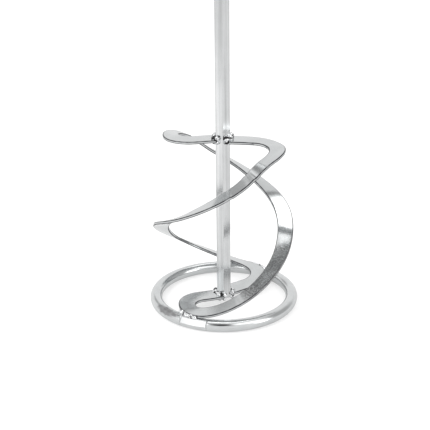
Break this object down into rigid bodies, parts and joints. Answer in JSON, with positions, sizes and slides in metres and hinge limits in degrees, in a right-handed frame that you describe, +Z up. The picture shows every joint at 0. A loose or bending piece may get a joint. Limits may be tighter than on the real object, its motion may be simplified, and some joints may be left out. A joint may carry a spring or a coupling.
{
  "type": "mortar mixing paddle",
  "caption": "Mixing paddle: a hexagonal bar with two open strip blades that spiral down to a round-bar foot ring.",
  "frame": {"origin": "centre of the foot ring on the plane the ring stands on", "axes": "+Z runs up the shaft to its drive end; the first blade's top arm points along +X and its ribbon turns towards -Y"},
  "size_m": [0.12, 0.12, 0.6],
  "materials": {
    "bar_zinc": "bright zinc plate over drawn hexagonal bar",
    "strip_zinc": "bright zinc plate over rolled strip",
    "ring_zinc": "bright zinc plate over drawn round bar",
    "dressed_weld": "ground weld under zinc plate",
    "weld_bead": "lumpy weld bead under bright zinc plate"
  },
  "bodies": {
    "root": {"hex_shaft": "bar_zinc", "blade_a": "strip_zinc", "blade_b": "strip_zinc", "foot_ring": "ring_zinc", "ring_closing_weld": "dressed_weld", "ring_weld_a": "weld_bead", "ring_weld_b": "weld_bead", "top_weld_a_upper": "weld_bead", "top_weld_a_lower": "weld_bead", "top_weld_b_upper": "weld_bead", "top_weld_b_lower": "weld_bead", "foot_weld_a_upper": "weld_bead", "foot_weld_a_lower": "weld_bead", "foot_weld_b_upper": "weld_bead", "foot_weld_b_lower": "weld_bead"}
  },
  "joints": []
}
